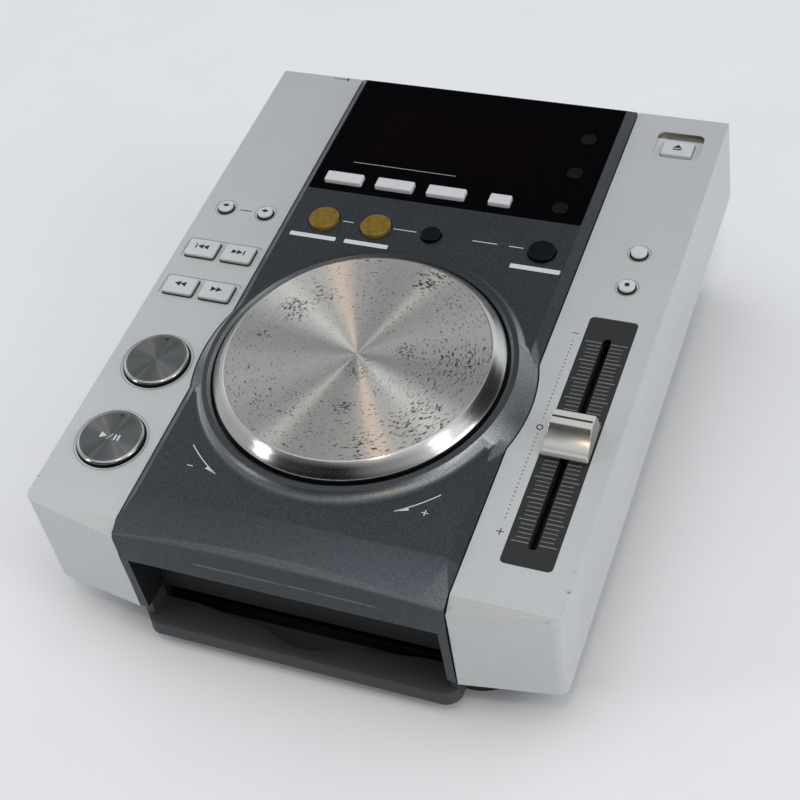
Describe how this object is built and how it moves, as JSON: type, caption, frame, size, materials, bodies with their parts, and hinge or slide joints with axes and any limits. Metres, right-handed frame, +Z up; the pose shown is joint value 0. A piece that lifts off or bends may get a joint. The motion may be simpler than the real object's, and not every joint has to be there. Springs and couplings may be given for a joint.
{
  "type": "tabletop dj cd player",
  "caption": "Tabletop DJ disc player with a sloping deck, large jog wheel, pitch fader, press keys and a slot loader over a scooped shelf.",
  "frame": {"origin": "on the table under the middle of the player's bounding box", "axes": "+X to the player's right seen from its front, +Y to the rear, +Z up"},
  "size_m": [0.218, 0.2926, 0.1069],
  "materials": {
    "silver_plastic": "fine metallic satin",
    "panel_plastic": "fine metallic satin",
    "black_plastic": "satin",
    "window": "gloss",
    "chassis_steel": "fine texture",
    "plain_steel": "satin",
    "foot_rubber": "matt",
    "screw_steel": "satin",
    "spun_metal": "spun",
    "dark_spun_metal": "spun",
    "key_silver": "satin",
    "key_white": "satin",
    "key_amber": "satin",
    "key_black": "satin",
    "brass": "turned",
    "board": "solder mask",
    "gear_plastic": "moulded",
    "roller_rubber": "matt"
  },
  "bodies": {
    "case": {"bottom_chassis": "chassis_steel", "disc_shelf": "black_plastic", "slot_bezel": "black_plastic", "cover_left": "silver_plastic", "cover_right": "silver_plastic", "centre_panel": "panel_plastic", "display_window": "window", "rear_panel": "black_plastic", "rubber_feet": "foot_rubber", "case_screws": "screw_steel", "fader_plate": "black_plastic", "fader_body": "plain_steel", "jog_bearing": "brass", "display_module": "board", "left_board": "board", "right_board": "board", "centre_board": "board", "main_board": "board", "power_supply": "board", "ac_inlet": "black_plastic", "audio_jacks": "brass", "loader_frame": "plain_steel", "loader_motor": "plain_steel", "spindle_motor": "plain_steel", "guide_rods": "plain_steel", "sled_motor": "plain_steel"},
    "jog_wheel": {"jog_platter": "spun_metal", "jog_shaft": "plain_steel"},
    "pitch_slider": {"fader_lever": "plain_steel", "fader_cap": "key_silver"},
    "cue_button_body": {"cue_button": "dark_spun_metal"},
    "play_button_body": {"play_button": "dark_spun_metal"},
    "track_back_key_body": {"track_back_key": "key_silver"},
    "track_forward_key_body": {"track_forward_key": "key_silver"},
    "search_back_key_body": {"search_back_key": "key_silver"},
    "search_forward_key_body": {"search_forward_key": "key_silver"},
    "folder_back_button_body": {"folder_back_button": "key_silver"},
    "folder_forward_button_body": {"folder_forward_button": "key_silver"},
    "eject_key_body": {"eject_key": "key_silver"},
    "tempo_range_button_body": {"tempo_range_button": "key_silver"},
    "master_tempo_button_body": {"master_tempo_button": "key_silver"},
    "loop_in_button_body": {"loop_in_button": "key_amber"},
    "loop_out_button_body": {"loop_out_button": "key_amber"},
    "reloop_button_body": {"reloop_button": "key_black"},
    "beat_loop_button_body": {"beat_loop_button": "key_black"},
    "effect_key_left_body": {"effect_key_left": "key_white"},
    "effect_key_middle_body": {"effect_key_middle": "key_white"},
    "effect_key_right_body": {"effect_key_right": "key_white"},
    "hold_key_body": {"hold_key": "key_white"},
    "text_mode_button_body": {"text_mode_button": "key_black"},
    "time_mode_button_body": {"time_mode_button": "key_black"},
    "auto_cue_button_body": {"auto_cue_button": "key_black"},
    "power_rocker": {"power_switch": "key_black"},
    "roller": {"loading_roller": "roller_rubber"},
    "pinion": {"loader_pinion": "gear_plastic"},
    "clamp_lever": {"clamp_arm": "plain_steel"},
    "clamp_puck": {"disc_clamp": "black_plastic"},
    "platen": {"turntable": "black_plastic"},
    "sled": {"pickup_sled": "black_plastic"},
    "screw": {"lead_screw": "brass"}
  },
  "joints": [
    {"name": "cue_button_press", "type": "slide", "parent": "case", "child": "cue_button_body", "axis": [0, 0.1184, -0.993], "range_m": [0, 0.0012], "stiffness_N_per_m": 300, "springref_m": -0.0005},
    {"name": "play_button_press", "type": "slide", "parent": "case", "child": "play_button_body", "axis": [0, 0.1184, -0.993], "range_m": [0, 0.0012], "stiffness_N_per_m": 300, "springref_m": -0.0005},
    {"name": "track_back_key_press", "type": "slide", "parent": "case", "child": "track_back_key_body", "axis": [0, 0.1184, -0.993], "range_m": [0, 0.0012], "stiffness_N_per_m": 300, "springref_m": -0.0005},
    {"name": "track_forward_key_press", "type": "slide", "parent": "case", "child": "track_forward_key_body", "axis": [0, 0.1184, -0.993], "range_m": [0, 0.0012], "stiffness_N_per_m": 300, "springref_m": -0.0005},
    {"name": "search_back_key_press", "type": "slide", "parent": "case", "child": "search_back_key_body", "axis": [0, 0.1184, -0.993], "range_m": [0, 0.0012], "stiffness_N_per_m": 300, "springref_m": -0.0005},
    {"name": "search_forward_key_press", "type": "slide", "parent": "case", "child": "search_forward_key_body", "axis": [0, 0.1184, -0.993], "range_m": [0, 0.0012], "stiffness_N_per_m": 300, "springref_m": -0.0005},
    {"name": "folder_back_button_press", "type": "slide", "parent": "case", "child": "folder_back_button_body", "axis": [0, 0.1184, -0.993], "range_m": [0, 0.0012], "stiffness_N_per_m": 300, "springref_m": -0.0005},
    {"name": "folder_forward_button_press", "type": "slide", "parent": "case", "child": "folder_forward_button_body", "axis": [0, 0.1184, -0.993], "range_m": [0, 0.0012], "stiffness_N_per_m": 300, "springref_m": -0.0005},
    {"name": "eject_key_press", "type": "slide", "parent": "case", "child": "eject_key_body", "axis": [0, 0.1184, -0.993], "range_m": [0, 0.0012], "stiffness_N_per_m": 300, "springref_m": -0.0005},
    {"name": "tempo_range_button_press", "type": "slide", "parent": "case", "child": "tempo_range_button_body", "axis": [0, 0.1184, -0.993], "range_m": [0, 0.0012], "stiffness_N_per_m": 300, "springref_m": -0.0005},
    {"name": "master_tempo_button_press", "type": "slide", "parent": "case", "child": "master_tempo_button_body", "axis": [0, 0.1184, -0.993], "range_m": [0, 0.0012], "stiffness_N_per_m": 300, "springref_m": -0.0005},
    {"name": "loop_in_button_press", "type": "slide", "parent": "case", "child": "loop_in_button_body", "axis": [0, 0.1184, -0.993], "range_m": [0, 0.0012], "stiffness_N_per_m": 300, "springref_m": -0.0005},
    {"name": "loop_out_button_press", "type": "slide", "parent": "case", "child": "loop_out_button_body", "axis": [0, 0.1184, -0.993], "range_m": [0, 0.0012], "stiffness_N_per_m": 300, "springref_m": -0.0005},
    {"name": "reloop_button_press", "type": "slide", "parent": "case", "child": "reloop_button_body", "axis": [0, 0.1184, -0.993], "range_m": [0, 0.0012], "stiffness_N_per_m": 300, "springref_m": -0.0005},
    {"name": "beat_loop_button_press", "type": "slide", "parent": "case", "child": "beat_loop_button_body", "axis": [0, 0.1184, -0.993], "range_m": [0, 0.0012], "stiffness_N_per_m": 300, "springref_m": -0.0005},
    {"name": "effect_key_left_press", "type": "slide", "parent": "case", "child": "effect_key_left_body", "axis": [0, 0.1184, -0.993], "range_m": [0, 0.0012], "stiffness_N_per_m": 300, "springref_m": -0.0005},
    {"name": "effect_key_middle_press", "type": "slide", "parent": "case", "child": "effect_key_middle_body", "axis": [0, 0.1184, -0.993], "range_m": [0, 0.0012], "stiffness_N_per_m": 300, "springref_m": -0.0005},
    {"name": "effect_key_right_press", "type": "slide", "parent": "case", "child": "effect_key_right_body", "axis": [0, 0.1184, -0.993], "range_m": [0, 0.0012], "stiffness_N_per_m": 300, "springref_m": -0.0005},
    {"name": "hold_key_press", "type": "slide", "parent": "case", "child": "hold_key_body", "axis": [0, 0.1184, -0.993], "range_m": [0, 0.0012], "stiffness_N_per_m": 300, "springref_m": -0.0005},
    {"name": "text_mode_button_press", "type": "slide", "parent": "case", "child": "text_mode_button_body", "axis": [0, 0.1184, -0.993], "range_m": [0, 0.0012], "stiffness_N_per_m": 300, "springref_m": -0.0005},
    {"name": "time_mode_button_press", "type": "slide", "parent": "case", "child": "time_mode_button_body", "axis": [0, 0.1184, -0.993], "range_m": [0, 0.0012], "stiffness_N_per_m": 300, "springref_m": -0.0005},
    {"name": "auto_cue_button_press", "type": "slide", "parent": "case", "child": "auto_cue_button_body", "axis": [0, 0.1184, -0.993], "range_m": [0, 0.0012], "stiffness_N_per_m": 300, "springref_m": -0.0005},
    {"name": "pitch_slide", "type": "slide", "parent": "case", "child": "pitch_slider", "axis": [0, 0.993, 0.1184], "range_m": [-0.05, 0.05]},
    {"name": "jog_spin", "type": "hinge", "parent": "case", "child": "jog_wheel", "pos_m": [0, -0.05135, 0.08266], "axis": [0, -0.1184, 0.993], "continuous": true},
    {"name": "power_rock", "type": "hinge", "parent": "case", "child": "power_rocker", "pos_m": [-0.0756, 0.13725, 0.034], "axis": [1, 0, 0], "range_deg": [0, 16]},
    {"name": "roller_spin", "type": "hinge", "parent": "case", "child": "roller", "pos_m": [0, -0.11672, 0.0146], "axis": [1, 0, 0], "continuous": true},
    {"name": "pinion_spin", "type": "hinge", "parent": "case", "child": "pinion", "pos_m": [0.0725, -0.11241, 0.01973], "axis": [1, 0, 0], "continuous": true},
    {"name": "clamp_lift", "type": "hinge", "parent": "case", "child": "clamp_lever", "pos_m": [0, 0.03828, 0.0264], "axis": [-1, 0, 0], "range_deg": [0, 8]},
    {"name": "clamp_spin", "type": "hinge", "parent": "clamp_lever", "child": "clamp_puck", "pos_m": [0, -0.03672, 0.021], "axis": [0, 0, 1], "continuous": true},
    {"name": "disc_spin", "type": "hinge", "parent": "case", "child": "platen", "pos_m": [0, -0.03672, 0.0175], "axis": [0, 0, 1], "continuous": true},
    {"name": "sled_slide", "type": "slide", "parent": "case", "child": "sled", "axis": [0, 1, 0], "range_m": [0, 0.035]},
    {"name": "screw_spin", "type": "hinge", "parent": "case", "child": "screw", "pos_m": [0.031, -0.00772, 0.0144], "axis": [0, 1, 0], "range_deg": [0, 6300]}
  ],
  "couplings": [
    {"joint": "pinion_spin", "follows": "roller_spin", "ratio": -1.6},
    {"joint": "clamp_spin", "follows": "disc_spin", "ratio": 1},
    {"joint": "screw_spin", "follows": "sled_slide", "rad_per_m": 3141.6}
  ]
}
